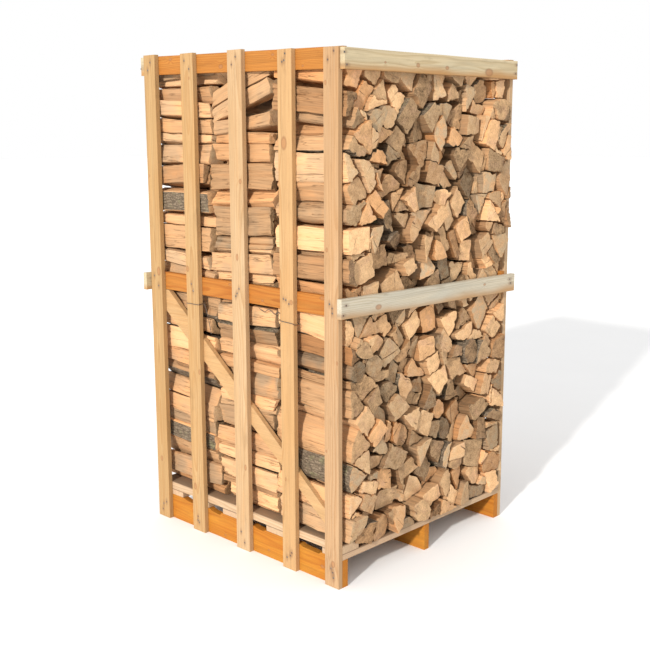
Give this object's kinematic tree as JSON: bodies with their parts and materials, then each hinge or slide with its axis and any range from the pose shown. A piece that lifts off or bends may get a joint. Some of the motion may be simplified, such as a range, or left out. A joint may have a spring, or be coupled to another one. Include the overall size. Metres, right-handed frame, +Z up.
{
  "type": "firewood bundle",
  "caption": "Tall slatted pallet crate of sawn pine, packed with rows of stacked split firewood logs whose sawn ends show at both open sides.",
  "frame": {"origin": "middle of the crate's footprint, on the ground under its runners", "axes": "+Z up; the slatted faces look along -Y and +Y; the log ends look along -X and +X"},
  "size_m": [1.1736, 1.1145, 2.031],
  "materials": {
    "pale_slat": "rough sawn pine, pale yellow-tan, dry, with knots and nail heads",
    "stained_rail": "rough sawn pine, orange-tan stain, dry",
    "stained_runner": "rough sawn pine runner, strong orange stain, with bark wane on its upper edge",
    "aged_board": "rough sawn board, pale cream weathered grey-green, with orange-brown stain on its lower edge",
    "split_wood": "split and sawn hardwood, fibrous peach-tan faces, tan saw-cut ends, some grey-brown bark",
    "tie_wire": "thin dark annealed steel wire"
  },
  "bodies": {
    "root": {"front_slat_1": "pale_slat", "front_slat_2": "pale_slat", "front_slat_3": "pale_slat", "front_slat_4": "pale_slat", "front_slat_5": "pale_slat", "front_top_rail": "stained_rail", "front_mid_rail": "stained_rail", "front_brace": "pale_slat", "back_slat_1": "pale_slat", "back_slat_2": "pale_slat", "back_slat_3": "pale_slat", "back_slat_4": "pale_slat", "back_slat_5": "pale_slat", "back_top_rail": "stained_rail", "back_mid_rail": "stained_rail", "back_brace": "pale_slat", "right_top_board": "aged_board", "right_mid_board": "aged_board", "left_top_board": "aged_board", "left_mid_board": "aged_board", "front_runner": "stained_runner", "middle_runner": "stained_runner", "back_runner": "stained_runner", "cross_board_1": "pale_slat", "cross_board_2": "pale_slat", "cross_board_3": "pale_slat", "cross_board_4": "pale_slat", "cross_board_5": "pale_slat", "front_sill": "pale_slat", "back_sill": "pale_slat", "wire_tie_1": "tie_wire", "wire_tie_2": "tie_wire", "log_row_1_lower": "split_wood", "log_row_1_upper": "split_wood", "log_row_2_lower": "split_wood", "log_row_2_upper": "split_wood", "log_row_3_lower": "split_wood", "log_row_3_upper": "split_wood"}
  },
  "joints": []
}
